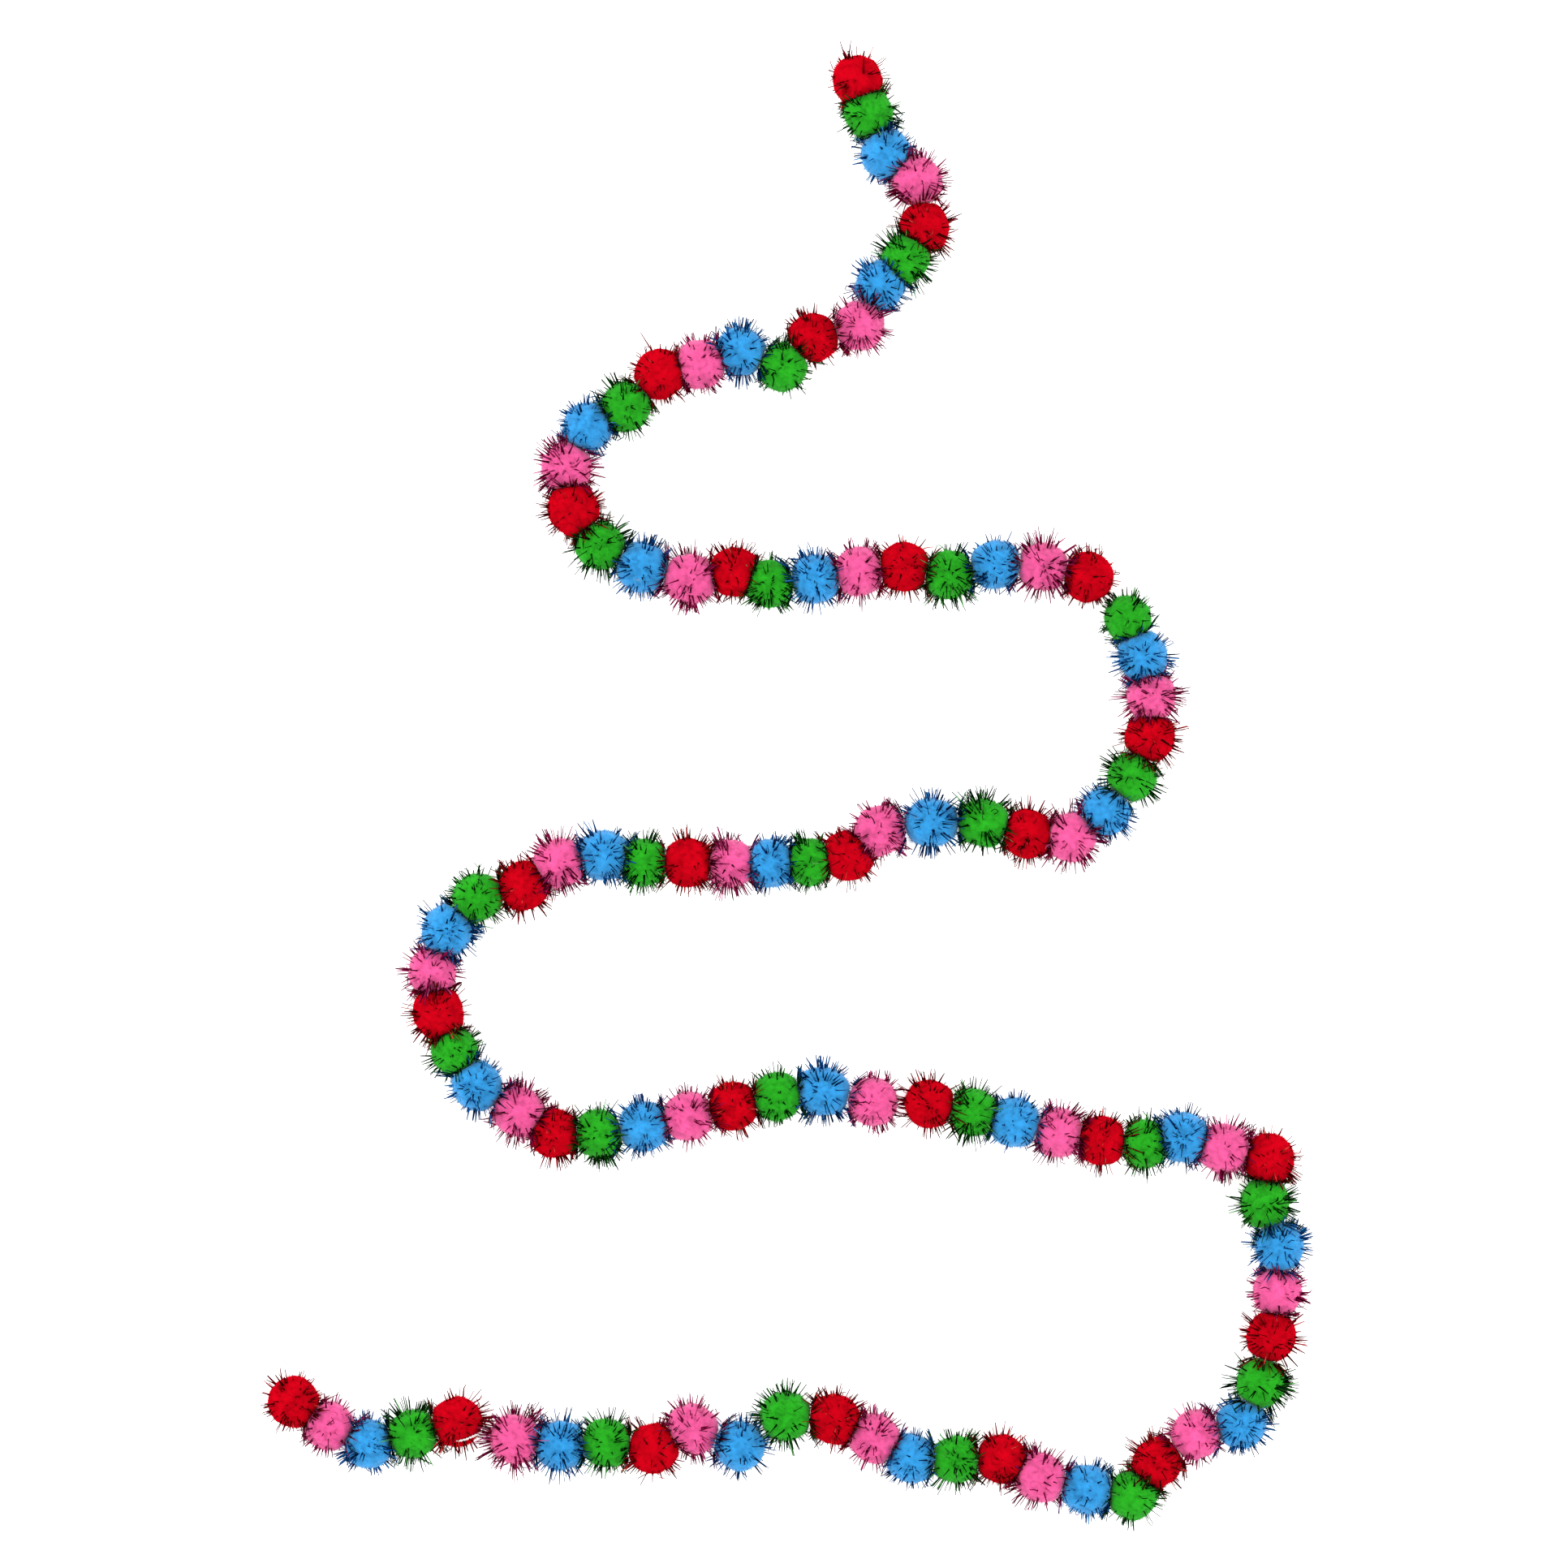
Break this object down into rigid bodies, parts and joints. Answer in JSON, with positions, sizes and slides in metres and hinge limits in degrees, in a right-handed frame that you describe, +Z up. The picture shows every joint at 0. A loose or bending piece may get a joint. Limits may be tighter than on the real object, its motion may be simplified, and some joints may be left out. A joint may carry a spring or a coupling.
{
  "type": "pom-pom garland",
  "caption": "String of round plush pom-poms with tinsel strips in red, green, blue and pink, laid out in a line that winds from side to side.",
  "frame": {"origin": "middle of the laid-out garland's box, on the surface that it lies on", "axes": "+Z up from the surface, +Y along the laid-out garland's long side, from its low end towards the end where the string starts, +X to the right of that"},
  "size_m": [0.4252, 0.5895, 0.022],
  "materials": {
    "thread": "thin white twisted string",
    "red_pompom": "matt plush pile with strips of dark red metallised film",
    "green_pompom": "matt plush pile with strips of dark green metallised film",
    "blue_pompom": "matt plush pile with strips of dark blue metallised film",
    "pink_pompom": "matt plush pile with strips of dark pink metallised film"
  },
  "bodies": {
    "root": {"pompom_029": "red_pompom", "pompom_038": "green_pompom", "pompom_039": "blue_pompom", "pompom_064": "pink_pompom", "pompom_091": "blue_pompom", "pompom_096": "pink_pompom", "pompom_101": "red_pompom", "pompoms_001_002": "red_pompom", "pompoms_003_004": "blue_pompom", "pompoms_005_006": "red_pompom", "pompoms_007_008": "blue_pompom", "pompoms_009_010": "red_pompom", "pompoms_011_012": "blue_pompom", "pompoms_013_014": "red_pompom", "pompoms_015_016": "blue_pompom", "pompoms_017_018": "red_pompom", "pompoms_019_020": "blue_pompom", "pompoms_021_022": "red_pompom", "pompoms_023_024": "blue_pompom", "pompoms_025_026": "red_pompom", "pompoms_027_028": "blue_pompom", "pompoms_030_031": "green_pompom", "pompoms_032_033": "pink_pompom", "pompoms_034_035": "green_pompom", "pompoms_036_037": "pink_pompom", "pompoms_040_041": "pink_pompom", "pompoms_042_043": "green_pompom", "pompoms_044_045": "pink_pompom", "pompoms_046_047": "green_pompom", "pompoms_048_049": "pink_pompom", "pompoms_050_051": "green_pompom", "pompoms_052_053": "pink_pompom", "pompoms_054_055": "green_pompom", "pompoms_056_057": "pink_pompom", "pompoms_058_059": "green_pompom", "pompoms_060_061": "pink_pompom", "pompoms_062_063": "green_pompom", "pompoms_065_066": "red_pompom", "pompoms_067_068": "blue_pompom", "pompoms_069_070": "red_pompom", "pompoms_071_072": "blue_pompom", "pompoms_073_074": "red_pompom", "pompoms_075_076": "blue_pompom", "pompoms_077_078": "red_pompom", "pompoms_079_080": "blue_pompom", "pompoms_081_082": "red_pompom", "pompoms_083_084": "blue_pompom", "pompoms_085_086": "red_pompom", "pompoms_087_088": "blue_pompom", "pompoms_089_090": "red_pompom", "pompoms_092_093": "pink_pompom", "pompoms_094_095": "green_pompom", "pompoms_097_098": "red_pompom", "pompoms_099_100": "blue_pompom", "thread": "thread"}
  },
  "joints": []
}
